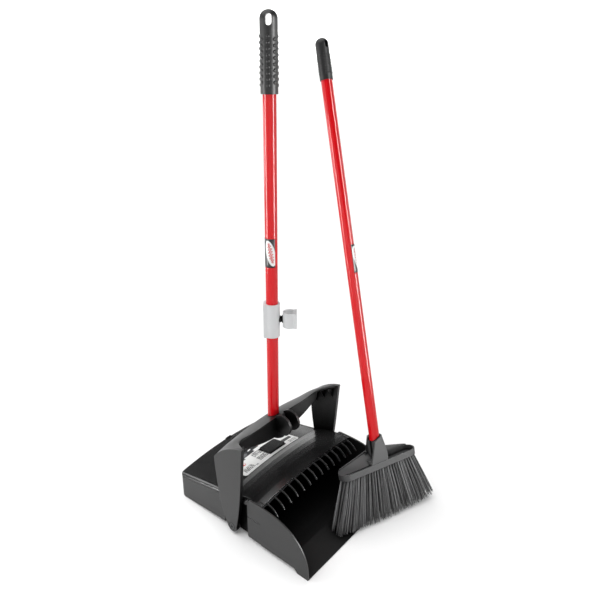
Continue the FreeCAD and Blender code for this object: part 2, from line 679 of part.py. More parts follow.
def build_broom_clip():
    """A springy C that the broom's tube snaps into, its mouth outward with turned-out lips."""
    inner, thick, tall = size("clip_inner"), size("clip_wall"), size("clip_tall")
    outer = inner + thick
    low = size("clip_height") - size("sleeve_low") - tall / 2
    centre = clip_centre(low)
    middle = centre.x
    ring = Part.makeCylinder(outer, tall, centre).cut(Part.makeCylinder(inner, tall, centre))
    half_open = math.radians(size("clip_open") / 2)
    wedge_far = 3 * outer
    corner = V(middle + wedge_far * math.cos(half_open), wedge_far * math.sin(half_open), low)
    other = V(corner.x, -corner.y, low)
    wedge = Part.Face(Part.Wire(polyline([centre, corner, other, centre])))
    ring = ring.cut(wedge.extrude(V(0, 0, tall)))
    lip = size("clip_lip")
    edge = inner + thick / 2
    for side in (1, -1):
        root = V(middle + edge * math.cos(half_open), side * edge * math.sin(half_open), low)
        ring = ring.fuse(Part.makeCylinder(thick / 2, tall, root))
        tip = root + V(5.5, side * lip, 0)
        along = (tip - root).normalize()
        across = V(-along.y, along.x, 0) * (thick / 2)
        flap = Part.Face(Part.Wire(polyline([root + across, tip + across, tip - across,
                                             root - across, root + across])))
        ring = ring.fuse(flap.extrude(V(0, 0, tall)))
        ring = ring.fuse(Part.makeCylinder(thick / 2, tall, tip))
    # flat back that seats on the neck
    back = Part.makeBox(thick, 2 * size("neck_radius"), tall - 6,
                        V(size("neck_end"), -size("neck_radius"), low + 3))
    ring = ring.fuse(back.cut(Part.makeCylinder(inner, tall, centre)))
    height = size("clip_height") - size("sleeve_low")
    hole = Part.makeCylinder(size("screw_radius"), 30, V(8, 0, height), X_AXIS)
    seat = Part.makeCylinder(size("head_half") + 0.1, inner,
                             V(size("neck_end") + size("head_sunk"), 0, height), X_AXIS)
    return ring.cut(hole).cut(seat).removeSplitter()


def build_clip_screw():
    """The screw through clip, neck and sleeve, its head sunk flush in the back of the C."""
    height = size("clip_height") - size("sleeve_low")
    start = size("tube_radius") + size("fit_gap") + 0.3
    end = size("neck_end") + size("head_sunk")
    shaft = Part.makeCylinder(size("screw_radius"), end - start, V(start, 0, height), X_AXIS)
    head = Part.makeCylinder(size("head_half"), size("head_deep"), V(end, 0, height), X_AXIS)
    socket = Part.makeBox(2, 1.2, 7, V(end + size("head_deep") / 2, -0.6, height - 3.5))
    return shaft.fuse(head).cut(socket)


for label, maker in (("clip_sleeve", build_clip_sleeve), ("clip_neck", build_clip_neck),
                     ("broom_clip", build_broom_clip), ("clip_screw", build_clip_screw)):
    place_on_handle(moulding(label, maker()), size("sleeve_low"), turned=True)


def build_socket_screw():
    """The screw that holds the pan's tube in the bail's socket, put in from behind."""
    radius, height = size("screw_radius"), size("socket_low") + 20
    inside = size("socket_back") + size("tube_radius") + 0.1
    outside = size("socket_back") + size("socket_outer")
    shaft = Part.makeCylinder(radius, outside - inside, V(0, inside, height), Y_AXIS)
    head = Part.makeCylinder(2 * radius, 2, V(0, outside, height), Y_AXIS)
    return shaft.fuse(head)


moulding("socket_screw", build_socket_screw())


# ---------------------------------------------------------------- broom

def stadium(half_long, half_deep, low, tall):
    """A straight-sided block with half-round ends, drawn in plan."""
    straight = half_long - half_deep
    body = Part.makeBox(2 * straight, 2 * half_deep, tall, V(-straight, -half_deep, low))
    for end in (-1, 1):
        body = body.fuse(Part.makeCylinder(half_deep, tall, V(end * straight, 0, low)))
    return body


def front_prism(corners, front, rear):
    """A prism drawn in the X-Z plane that runs in depth from front to rear."""
    outline = [V(x, front, z) for x, z in corners + corners[:1]]
    return Part.Face(Part.Wire(polyline(outline))).extrude(V(0, rear - front, 0))


def ridge_height(x):
    """Height of the ridge along the back of the block, which rises to the socket from both ends."""
    top = size("block_low") + size("block_tall")
    return top + size("ridge_rise") * (1 - abs(x) / size("block_half_long"))


def build_back_wall():
    """The thin upright wall along the back of the block."""
    half_long, back, low = size("block_half_long"), size("block_half_deep"), size("block_low")
    corners = [(x, ridge_height(x)) for x in (-half_long, 0, half_long)]
    return front_prism([(-half_long, low)] + corners + [(half_long, low)], back - size("rim"), back)


def wing_section(x):
    """Section of the sloping face at one x: low behind the slit, highest at the back wall."""
    front = -size("block_half_deep") + size("rim") + size("slit")
    back, low = size("block_half_deep") - 1, size("block_low") + 1
    lip = size("block_low") + size("block_tall")
    return Part.Wire(polyline([V(x, front, low), V(x, front, lip), V(x, back, ridge_height(x) - 0.8),
                               V(x, back, low), V(x, front, low)]))


def build_socket():
    """The tube's socket: flat front and back, open on the left down to the sleeve round the tube."""
    low, top = size("block_low") + size("pocket_floor"), size("block_low") + size("block_tall")
    high = size("cone_top")
    face = size("block_half_deep") - size("flat_back")
    sleeve = size("broom_radius") + size("sleeve_wall")
    cone = Part.makeCone(size("cone_low"), size("cone_high"), high - top, V(0, 0, top))
    skirt = Part.makeCylinder(size("cone_low"), top - low, V(0, 0, low))
    socket = cone.fuse(skirt).common(block((-FAR, -face, low), (size("cone_side"), face, FAR)))
    half = size("opening_half")
    opening = block((sleeve, -half, size("opening_low")), (FAR, half, FAR))
    opening.rotate(V(), Z_AXIS, size("opening_turn"))
    # the front face leans over to the left as it comes down, and the rim drops to the left
    left, right, notch = size("face_top"), size("face_right"), high - size("sleeve_drop")
    front = front_prism([(left, notch), (1, high), (right, high), (right, low),
                         (size("face_low"), low)], -face, -sleeve)
    above = front_prism([(left, notch), (1, high), (1, FAR), (-FAR, FAR), (-FAR, notch)], -FAR, 5)
    return socket.cut(opening).fuse(front).cut(above)


def build_broom_head():
    """The block: a rimmed bar, a sloping face on the left, an open pocket on the right, a socket."""
    half_long, half_deep = size("block_half_long"), size("block_half_deep")
    low, tall, rim = size("block_low"), size("block_tall"), size("rim")
    outside = stadium(half_long, half_deep, low, FAR)
    hollow = stadium(half_long - rim, half_deep - rim, low + size("pocket_floor"), tall)
    wing = Part.makeLoft([wing_section(-half_long), wing_section(0)], True, True)
    head = stadium(half_long, half_deep, low, tall).cut(hollow)
    head = head.fuse(build_back_wall().common(outside)).fuse(wing.common(outside))
    head = head.fuse(build_socket())
    bore = Part.makeCylinder(size("broom_radius") + size("fit_gap"), FAR,
                             V(0, 0, size("broom_tube_low")))
    screw = Part.makeCylinder(size("screw_radius"), 30, V(0, 5, head_screw_height()), Y_AXIS)
    return head.cut(bore).cut(screw).removeSplitter()


def head_screw_height():
    return size("broom_tube_low") + 18


def build_head_screw():
    """The screw through the back of the socket into the broom's tube."""
    height, outside = head_screw_height(), size("block_half_deep") - size("flat_back")
    inside = size("broom_radius") + 0.1
    shaft = Part.makeCylinder(size("screw_radius"), outside - inside, V(0, inside, height), Y_AXIS)
    head = Part.makeCylinder(2 * size("screw_radius"), 2, V(0, outside, height), Y_AXIS)
    return shaft.fuse(head)


def ground_under(x, y):
    """Height of what lies under a bristle: the pan's ramp inside the mouth, else the floor."""
    margin = 8
    inside = abs(x) < size("pan_half_width") + margin and y > -size("lip_reach") - margin
    return ramp_height(y) if inside else 0


def head_frame():
    """The frame of the head, which is turned a little on the broom's tube."""
    return turned(broom_frame(0), size("head_turn"))


def build_bristle_row(row):
    """One row of flared tufts, each cut off just above what it would touch."""
    frame = head_frame()
    count, rows = int(size("tufts_in_row")), int(size("row_count"))
    low, half_deep = size("block_low"), size("block_half_deep")
    row_y = (row - (rows - 1) / 2) * size("row_space")
    end_round = half_deep - math.sqrt(half_deep ** 2 - row_y ** 2)
    spread = size("tuft_spread") - end_round
    tufts = []
    for step in range(count):
        base_x = -spread + 2 * spread * (step + 0.5 * (row % 2)) / (count - 0.5)
        base = V(base_x, row_y, low)
        tip_height = size("tip_low") + size("tip_rise") * (base_x / spread) ** 2
        tip = V(base_x * size("tuft_fan"), row_y * size("tuft_splay"), tip_height)
        share = 1.0
        while share > 0.5:
            end = base + (tip - base) * share
            world = frame.multVec(end)
            if world.z >= ground_under(world.x, world.y) + size("tip_clear"):
                break
            share -= 0.005
        way = tip - base
        tip_radius = size("tuft_base") + (size("tuft_tip") - size("tuft_base")) * share
        tufts.append(Part.makeCone(size("tuft_base"), tip_radius, way.Length * share, base, way))
    return Part.makeCompound(tufts)


moulding("broom_head", build_broom_head()).Placement = head_frame()
moulding("broom_head_screw", build_head_screw()).Placement = head_frame()
for row in range(int(size("row_count"))):
    moulding(f"bristle_row_{row + 1}", build_bristle_row(row)).Placement = head_frame()


# ---------------------------------------------------------------- check and write

doc.recompute()
for item in doc.Objects:
    if "Invalid" in item.State or "Error" in item.State:
        raise SystemExit(f"{item.Label} is not computed: {item.State}")
for item in nodes:
    if item.Shape.isNull() or not item.Shape.isValid():
        raise SystemExit(f"{item.Label} has no valid shape")
    item.Shape.exportStep(f"parts/{item.Label}.step")
    box = item.Shape.BoundBox
    print(f"{item.Label:18s} {item.Shape.Volume:10.0f} mm3 {len(item.Shape.Solids):3d} solids "
          f"x {box.XMin:7.1f} {box.XMax:7.1f} y {box.YMin:7.1f} {box.YMax:7.1f} "
          f"z {box.ZMin:7.1f} {box.ZMax:7.1f}")
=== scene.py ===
import math
import random

import bpy
import numpy as np
from mathutils import Matrix, Vector
from mathutils.bvhtree import BVHTree


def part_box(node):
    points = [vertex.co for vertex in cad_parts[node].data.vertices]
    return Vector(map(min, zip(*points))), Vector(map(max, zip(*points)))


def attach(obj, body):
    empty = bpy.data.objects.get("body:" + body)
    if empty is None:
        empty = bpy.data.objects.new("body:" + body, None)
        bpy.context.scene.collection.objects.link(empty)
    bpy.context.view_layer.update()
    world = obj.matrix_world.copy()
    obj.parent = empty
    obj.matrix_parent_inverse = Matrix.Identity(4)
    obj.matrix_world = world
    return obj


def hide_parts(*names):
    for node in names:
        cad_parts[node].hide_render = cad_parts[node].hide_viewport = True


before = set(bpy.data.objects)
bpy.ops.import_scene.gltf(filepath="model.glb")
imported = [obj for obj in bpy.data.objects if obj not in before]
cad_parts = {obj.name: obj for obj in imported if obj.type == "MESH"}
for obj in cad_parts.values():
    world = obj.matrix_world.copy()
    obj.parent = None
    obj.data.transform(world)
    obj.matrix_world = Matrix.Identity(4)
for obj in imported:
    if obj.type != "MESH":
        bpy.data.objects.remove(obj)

# A covered lobby dustpan with its bail handle, and the long-handled broom beside it.
# Metres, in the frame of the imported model: +Z up, the pan's mouth towards -Y.

MM = 0.001
PER_MM = 1000
random.seed(7)

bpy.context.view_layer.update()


# ---------------------------------------------------------------- places taken from the frame

def node_points(name):
    """The corners of a CAD node as an array."""
    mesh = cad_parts[name].data
    flat = np.zeros(len(mesh.vertices) * 3)
    mesh.vertices.foreach_get("co", flat)
    return flat.reshape(-1, 3)


def main_direction(points):
    """The direction in which a cloud of points is longest."""
    spread = points - points.mean(0)
    return Vector(np.linalg.svd(spread, full_matrices=False)[2][0])


def upright_frame(origin, along, across):
    """A frame whose local Z runs along a handle and whose local X runs close to across."""
    z = along.normalized()
    x = (across - across.dot(z) * z).normalized()
    y = z.cross(x)
    place = Matrix((x, y, z)).transposed().to_4x4()
    place.translation = origin
    return place


def broom_place():
    """The broom's own frame: Z up its handle, X along the head, origin where that Z meets the floor."""
    tube = node_points("broom_tube")
    along = main_direction(tube)
    if along.z < 0:
        along.negate()
    middle = Vector(tube.mean(0))
    foot = middle - along * (middle.z / along.z)
    tips = node_points("bristle_row_1")
    heights = (tips - np.array(foot)) @ np.array(along)
    flattened = tips - np.outer(heights, np.array(along))
    across = main_direction(flattened)
    if across.x < 0:
        across.negate()
    return upright_frame(foot, along, across)


BROOM = broom_place()
handle_low, handle_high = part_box("pan_tube")
HANDLE_AXIS = (handle_low + handle_high) / 2
HANDLE = Matrix.Translation((HANDLE_AXIS.x, HANDLE_AXIS.y, 0))
TUBE_RADIUS = (handle_high.x - handle_low.x) / 2


def local_points(name, place):
    """The corners of a CAD node in a local frame."""
    turned = place.inverted()
    return np.array([turned @ Vector(p) for p in node_points(name)])


def outer_radius(points):
    """How far the points of a tube or grip reach from the axis of its frame."""
    return float(np.hypot(points[:, 0], points[:, 1]).max())


# ---------------------------------------------------------------- node materials

class Shader:
    """A principled material with short helpers for wiring nodes."""

    def __init__(self, name, colour, roughness, specular=0.5, metallic=0.0):
        self.material = bpy.data.materials.new(name)
        self.material.use_nodes = True
        self.tree = self.material.node_tree
        self.surface = self.tree.nodes["Principled BSDF"]
        self.surface.inputs["Base Color"].default_value = (*colour, 1)
        self.surface.inputs["Roughness"].default_value = roughness
        self.surface.inputs["Specular IOR Level"].default_value = specular
        self.surface.inputs["Metallic"].default_value = metallic
        self.colour = colour
        self.roughness = roughness

    def add(self, kind, **settings):
        node = self.tree.nodes.new(kind)
        for key, value in settings.items():
            setattr(node, key, value)
        return node

    def feed(self, socket, value):
        """Links an output to a socket, or sets the socket to a plain number."""
        if isinstance(value, bpy.types.NodeSocket):
            self.tree.links.new(value, socket)
        else:
            socket.default_value = value

    def calc(self, operation, first, second=0.0, third=0.0):
        node = self.add("ShaderNodeMath", operation=operation)
        for socket, value in zip(node.inputs, (first, second, third)):
            self.feed(socket, value)
        return node.outputs[0]

    def split(self, vector):
        """The X, Y and Z of a vector, as the outputs of one node."""
        node = self.add("ShaderNodeSeparateXYZ")
        self.feed(node.inputs[0], vector)
        return node.outputs

    def object_place(self):
        """Where a point lies in the object's own coordinates."""
        return self.add("ShaderNodeTexCoord").outputs["Object"]

    def noise(self, scale, detail, stretch=None):
        """Noise over the object's own place, as a number from 0 to 1."""
        where = self.object_place()
        if stretch:
            mapping = self.add("ShaderNodeMapping")
            mapping.inputs["Scale"].default_value = stretch
            self.feed(mapping.inputs["Vector"], where)
            where = mapping.outputs[0]
        node = self.add("ShaderNodeTexNoise")
        node.inputs["Scale"].default_value = scale
        node.inputs["Detail"].default_value = detail
        self.feed(node.inputs["Vector"], where)
        return node.outputs["Fac"]

    def openness(self, reach, power):
        """Near 1 on open outer faces, falling to 0 deep in hollows and narrow gaps."""
        node = self.add("ShaderNodeAmbientOcclusion", samples=8)
        node.inputs["Distance"].default_value = reach
        return self.calc("POWER", node.outputs["AO"], power)

    def blend(self, amount, first, second):
        """Mixes two colours, each a socket or an (r, g, b)."""
        node = self.add("ShaderNodeMix", data_type="RGBA")
        self.feed(node.inputs["Factor"], amount)
        for socket, value in ((node.inputs[6], first), (node.inputs[7], second)):
            self.feed(socket, value if isinstance(value, bpy.types.NodeSocket) else (*value, 1))
        return node.outputs[2]

    def vary(self, scale, amount, rough):
        """Soft changes of shade and gloss over the surface."""
        cloud = self.noise(scale, 4)
        dark = tuple(c * (1 - amount) for c in self.colour)
        light = tuple(c * (1 + amount) for c in self.colour)
        self.feed(self.surface.inputs["Base Color"], self.blend(cloud, dark, light))
        spread = self.calc("MULTIPLY_ADD", cloud, 2 * rough, self.roughness - rough)
        self.feed(self.surface.inputs["Roughness"], spread)
        return self

    def tint(self):
        """The colour as it has been built up so far."""
        return self.surface.inputs["Base Color"].links[0].from_socket

    def recolour(self, amount, first, second):
        """Replaces the surface colour by a mix of two."""
        self.feed(self.surface.inputs["Base Color"], self.blend(amount, first, second))

    def dull(self, share, specular):
        """Keeps a varying share of the given gloss."""
        self.feed(self.surface.inputs["Specular IOR Level"], self.calc("MULTIPLY", share, specular))

    def relief(self, height, strength, distance, edge=0.0):
        """Bump from a height, over edges softened by a small radius."""
        bump = self.add("ShaderNodeBump")
        bump.inputs["Strength"].default_value = strength
        bump.inputs["Distance"].default_value = distance
        self.feed(bump.inputs["Height"], height)
        if edge:
            soft = self.add("ShaderNodeBevel", samples=6)
            soft.inputs["Radius"].default_value = edge
            self.feed(bump.inputs["Normal"], soft.outputs[0])
        self.feed(self.surface.inputs["Normal"], bump.outputs[0])
        return self


# Painted shade in hollows: how fast it falls off and how dark it gets; then the soft random changes of
# tone and gloss.
SHADE_POWER = 2.5
DEEP_SHADE = 0.1
CLOUD_SCALE = 14
CLOUD_ROUGH = 0.05


def moulded(name, colour, roughness, specular=0.5, grain=900, depth=0.05 * MM, edge=1.0 * MM,
            amount=0.15, bump=0.25, shade_reach=0.12):
    """Moulded plastic: fine grain and soft edges, with painted shade that makes it duller and darker in
    hollows of a given reach.
    """
    shader = Shader(name, colour, roughness, specular).vary(CLOUD_SCALE, amount, CLOUD_ROUGH)
    # Painted shade: ambient occlusion darkens the colour and dulls the gloss in hollows.
    if shade_reach:
        share = shader.openness(shade_reach, SHADE_POWER)
        deep = tuple(c * DEEP_SHADE for c in colour)
        shader.recolour(share, deep, shader.tint())
        shader.dull(share, specular)
    return shader.relief(shader.noise(grain, 3), bump, depth, edge)


def shell_plastic(name, node, colour, roughness, skin, inner_light_share):
    """Black plastic, satin on its outer skin.

    Further in than the skin it has painted shade: darker colour and a smaller share of its gloss in
    hollows, and by a set share all over.
    """
    specular, back_skin, reach = 0.5, 1.5 * MM, 0.13
    deep = (0.001, 0.001, 0.001)
    shader = Shader(name, colour, roughness, specular).vary(CLOUD_SCALE, 0.15, CLOUD_ROUGH)
    x, y, _ = shader.split(shader.object_place())
    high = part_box(node)[1]
    across = shader.calc("LESS_THAN", shader.calc("ABSOLUTE", x), high.x - skin)
    ahead = shader.calc("LESS_THAN", y, high.y - back_skin)
    inside = shader.calc("MULTIPLY", across, ahead)
    # Painted shade inside the skin: occlusion times a set share darkens the colour towards near black
    # and dulls the gloss.
    shade = shader.calc("MULTIPLY", shader.openness(reach, SHADE_POWER), inner_light_share)
    share = shader.calc("MULTIPLY_ADD", inside, shader.calc("SUBTRACT", shade, 1.0), 1.0)
    shader.recolour(share, deep, shader.tint())
    shader.dull(share, specular)
    return shader.relief(shader.noise(1100, 3), 0.25, 0.05 * MM, 0.9 * MM)


def head_plastic():
    """Dark grey plastic for the broom's head, with painted shade close round the foot of the tube: near
    black there and almost without gloss.
    """
    foot_shade_radius, foot_shade_low, foot_shade_dulling = 12.9 * MM, 135 * MM, -0.85
    shader = moulded("head_plastic", (0.037, 0.037, 0.038), 0.44, grain=1000, edge=0.8 * MM,
                     shade_reach=6 * MM)
    local = shader.add("ShaderNodeMapping", vector_type="TEXTURE")
    local.inputs["Location"].default_value = BROOM.to_translation()
    local.inputs["Rotation"].default_value = BROOM.to_euler()
    shader.feed(local.inputs["Vector"], shader.object_place())
    x, y, z = shader.split(local.outputs[0])
    # Painted shade: near-black colour and dulled gloss within a small radius of the tube's axis, above
    # a set height.
    square = shader.calc("MULTIPLY_ADD", x, x, shader.calc("MULTIPLY", y, y))
    near = shader.calc("LESS_THAN", square, foot_shade_radius ** 2)
    foot_shade = shader.calc("MULTIPLY", near, shader.calc("GREATER_THAN", z, foot_shade_low))
    shader.recolour(foot_shade, shader.tint(), (0.002, 0.002, 0.002))
    gloss = shader.surface.inputs["Specular IOR Level"].links[0].from_socket
    shader.dull(shader.calc("MULTIPLY_ADD", foot_shade, foot_shade_dulling, 1.0), gloss)
    return shader


def red_coat():
    """Glossy red powder coat with faintly uneven skin and a clear layer."""
    shader = Shader("red_powder_coat", (0.66, 0.005, 0.01), 0.16, 0.22).vary(9, 0.06, 0.03)
    shader.surface.inputs["Coat Weight"].default_value = 0.2
    shader.surface.inputs["Coat Roughness"].default_value = 0.02
    return shader.relief(shader.noise(420, 2), 0.08, 0.03 * MM)


def fibre_material():
    """Dark grey synthetic fibre, paler on some strands, with painted shade that darkens it in the gaps
    between them.
    """
    shader = Shader("bristle_fibre", (0.11, 0.112, 0.116), 0.5, 0.45)
    paleness = shader.add("ShaderNodeAttribute", attribute_name="shade").outputs["Fac"]
    streak = shader.noise(700, 2, (1, 1, 0.08))
    mixed = shader.calc("MULTIPLY_ADD", streak, 0.25, shader.calc("MULTIPLY", paleness, 0.75))
    # Painted shade: ambient occlusion darkens the strands where they crowd together.
    mixed = shader.calc("MULTIPLY", mixed, shader.openness(8 * MM, 2.0))
    shader.recolour(mixed, (0.001, 0.001, 0.0011), (0.36, 0.362, 0.366))
    shader.surface.inputs["Sheen Weight"].default_value = 0.1
    return shader.relief(streak, 0.2, 0.1 * MM)


def steel():
    """Zinc-plated screw steel with fine turned marks."""
    shader = Shader("zinc_screw", (0.62, 0.62, 0.61), 0.32, 0.5, 1.0).vary(60, 0.1, 0.08)
    return shader.relief(shader.noise(1500, 2), 0.1, 0.03 * MM, 0.3 * MM)


# ---------------------------------------------------------------- printed sheets

class Print(Shader):
    """A printed sheet: blocks of ink laid over a ground, in the sheet's own millimetres."""

    def __init__(self, name, ground, sheet=None):
        super().__init__(name, ground, 0.28)
        if sheet:
            where = self.add("ShaderNodeUVMap", uv_map=sheet).outputs[0]
        else:
            where = self.object_place()
        across, up, _ = self.split(where)
        self.x = self.calc("MULTIPLY", across, PER_MM)
        self.y = self.calc("MULTIPLY", up, PER_MM)
        self.ink = ground

    def inside(self, low, high, value):
        above = self.calc("GREATER_THAN", value, low)
        below = self.calc("LESS_THAN", value, high)
        return self.calc("MULTIPLY", above, below)

    def block(self, x0, x1, y0, y1):
        return self.calc("MULTIPLY", self.inside(x0, x1, self.x), self.inside(y0, y1, self.y))

    def disc(self, x, y, radius_x, radius_y, lean=0.0):
        """A filled oval, leaned over by a share of its height."""
        across = self.calc("SUBTRACT", self.x, x)
        up = self.calc("SUBTRACT", self.y, y)
        across = self.calc("MULTIPLY_ADD", up, -lean, across)
        round_x = self.calc("POWER", self.calc("ABSOLUTE", self.calc("DIVIDE", across, radius_x)), 2)
        round_y = self.calc("POWER", self.calc("ABSOLUTE", self.calc("DIVIDE", up, radius_y)), 2)
        return self.calc("LESS_THAN", self.calc("ADD", round_x, round_y), 1.0)

    def lines(self, area, pitch, letter):
        """Rows of small broken marks, like lines of small print."""
        stroke_share, gap_share = 0.6, 0.16
        row = self.calc("DIVIDE", self.y, pitch)
        stroke = self.calc("LESS_THAN", self.calc("FRACT", row), stroke_share)
        spot = self.add("ShaderNodeCombineXYZ")
        self.feed(spot.inputs["X"], self.calc("FLOOR", self.calc("DIVIDE", self.x, letter)))
        self.feed(spot.inputs["Y"], self.calc("FLOOR", row))
        chance = self.add("ShaderNodeTexWhiteNoise", noise_dimensions="2D")
        self.feed(chance.inputs["Vector"], spot.outputs[0])
        marks = self.calc("GREATER_THAN", chance.outputs["Value"], gap_share)
        return self.calc("MULTIPLY", area, self.calc("MULTIPLY", stroke, marks))

    def lay(self, mask, colour):
        """Prints one colour through a mask over what is there."""
        self.ink = self.blend(mask, self.ink, colour)
        self.feed(self.surface.inputs["Base Color"], self.ink)


WHITE = (0.82, 0.82, 0.81)
BLACK = (0.02, 0.02, 0.022)
RED = (0.6, 0.02, 0.03)
GREY = (0.16, 0.165, 0.17)
INK = (0.01, 0.01, 0.012)


def lid_label():
    """White label: picture blocks along its rear edge, small print in front, no words."""
    low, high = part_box("hood_label")
    left, right, far = low.x / MM, high.x / MM, high.y / MM
    card = Print("lid_label", WHITE)
    # small print
    for x0, x1, y0, y1, pitch in ((-34, -2, 62, 78, 4.2), (-36, -6, 43, 59, 3.9),
                                  (left + 9, -56, 39, 53, 4.3), (-54, -47, 37, 42, 2.6)):
        card.lay(card.lines(card.block(x0, x1, y0, y1), pitch, 1.5), INK)
    card.lay(card.disc(-66, 65, 4.6, 4.6), RED)
    card.lay(card.disc(-64, 65, 2.2, 2.2), WHITE)
    # pictures along the rear edge
    card.lay(card.block(left, -49, 76, far), BLACK)
    card.lay(card.block(-49, -16, 81, far), BLACK)
    card.lay(card.block(-16, 4, 88, far), BLACK)
    card.lay(card.disc(-41, 89, 9, 4.5, 0.4), GREY)
    card.lay(card.disc(-20, 95, 5, 2, 0.8), WHITE)
    card.lay(card.disc(7, 95, 6, 4), RED)
    card.lay(card.block(18, 29, 86, 91), RED)
    card.lay(card.block(16, 27, 76, 79), RED)
    # dark bar beside the pad
    card.lay(card.block(43, right - 6, 49, 59), BLACK)
    card.lay(card.lines(card.block(52, right - 4, 35, 45), 3.2, 1.3), GREY)
    return card


def tube_print(name, middle):
    """Black tube sticker with a leaning white oval and a red scribble in it."""
    lean, waves, swing = -0.2, 1.15, 1.8
    card = Print(name, BLACK, "sheet")
    card.lay(card.disc(middle, 0, 9.2, 25, lean), WHITE)
    heart = card.disc(middle, 1, 5.2, 20, lean)
    wave = card.calc("SINE", card.calc("MULTIPLY", card.y, waves))
    bend = card.calc("MULTIPLY_ADD", card.y, -lean, card.calc("SUBTRACT", card.x, middle))
    offset = card.calc("ABSOLUTE", card.calc("MULTIPLY_ADD", wave, swing, bend))
    for reach, colour in ((3.2, RED), (1.2, WHITE), (0.5, RED)):
        card.lay(card.calc("MULTIPLY", card.calc("LESS_THAN", offset, reach), heart), colour)
    return card


# ---------------------------------------------------------------- mesh helpers

def mesh_object(name, points, faces, smooth=True):
    mesh = bpy.data.meshes.new(name)
    mesh.from_pydata([tuple(p) for p in points], [], faces)
    mesh.update()
    if smooth:
        mesh.polygons.foreach_set("use_smooth", [True] * len(mesh.polygons))
    piece = bpy.data.objects.new(name, mesh)
    bpy.context.scene.collection.objects.link(piece)
    return piece


def finish_piece(piece, material, body):
    piece.data.materials.clear()
    piece.data.materials.append(material)
    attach(piece, body)
    return piece


STICKER_THICKNESS = 0.15 * MM
STICKER_GAP = 0.1 * MM


def curved_sticker(name, node, place, tube_radius, material, body):
    """A thin printed sheet bent round a tube, measured from the CAD sticker it stands for."""
    radius = tube_radius + STICKER_GAP
    local = local_points(node, place)
    low, high = local[:, 2].min(), local[:, 2].max()
    turns = np.sort(np.arctan2(local[:, 1], local[:, 0]))
    gaps = np.diff(np.append(turns, turns[0] + 2 * math.pi))
    start = turns[(int(np.argmax(gaps)) + 1) % len(turns)]
    wrap = 2 * math.pi - gaps.max()
    columns, rows = 40, 12
    points, sheet = [], []
    for row in range(rows + 1):
        for column in range(columns + 1):
            turn = start + wrap * column / columns
            height = low + (high - low) * row / rows
            points.append(place @ Vector((radius * math.cos(turn), radius * math.sin(turn), height)))
            sheet.append((radius * wrap * (column / columns - 0.5), height - (low + high) / 2))
    across = columns + 1
    faces = [(corner, corner + 1, corner + 1 + across, corner + across)
             for row in range(rows) for corner in range(row * across, row * across + columns)]
    piece = mesh_object(name, points, faces)
    layer = piece.data.uv_layers.new(name="sheet")
    for loop in piece.data.loops:
        layer.data[loop.index].uv = sheet[loop.vertex_index]
    skin = piece.modifiers.new("thickness", "SOLIDIFY")
    skin.thickness = STICKER_THICKNESS
    skin.offset = 1
    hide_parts(node)
    return finish_piece(piece, material, body)


# ---------------------------------------------------------------- bristles

def fibre(points, faces, shades, line, radius, shade, sides=4):
    """Adds one tapering strand that follows a line of points."""
    across = Vector((1, 0.3, 0))
    taper = 0.55
    first = len(points)
    steps = len(line) - 1
    for number, centre in enumerate(line):
        ahead = line[min(number + 1, steps)] - line[max(number - 1, 0)]
        side = ahead.cross(across).normalized()
        other = ahead.cross(side).normalized()
        thick = radius * (1 - taper * (number / steps) ** 3)
        for corner in range(sides):
            turn = 2 * math.pi * corner / sides
            points.append(centre + (side * math.cos(turn) + other * math.sin(turn)) * thick)
            shades.append(shade)
    for step in range(steps):
        for corner in range(sides):
            after = (corner + 1) % sides
            ring = first + step * sides
            up = ring + sides
            faces.append((ring + corner, ring + after, up + after, up + corner))
    faces.append(tuple(first + steps * sides + corner for corner in range(sides)))


def ground_below():
    """What a bristle may come down on: the pan, and the floor under everything."""
    points = [Vector(p) for p in node_points("pan_shell")]
    faces = [tuple(p.vertices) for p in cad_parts["pan_shell"].data.polygons]
    first = len(points)
    reach = 2.0
    points += [Vector((x * reach, y * reach, 0)) for x, y in ((-1, -1), (1, -1), (1, 1), (-1, 1))]
    faces.append((first, first + 1, first + 2, first + 3))
    return BVHTree.FromPolygons(points, faces)


def spread_out(size_x, size_y):
    """A random sideways offset; the sizes are its usual reach in millimetres."""
    return Vector((random.gauss(0, size_x), random.gauss(0, size_y), 0)) * MM


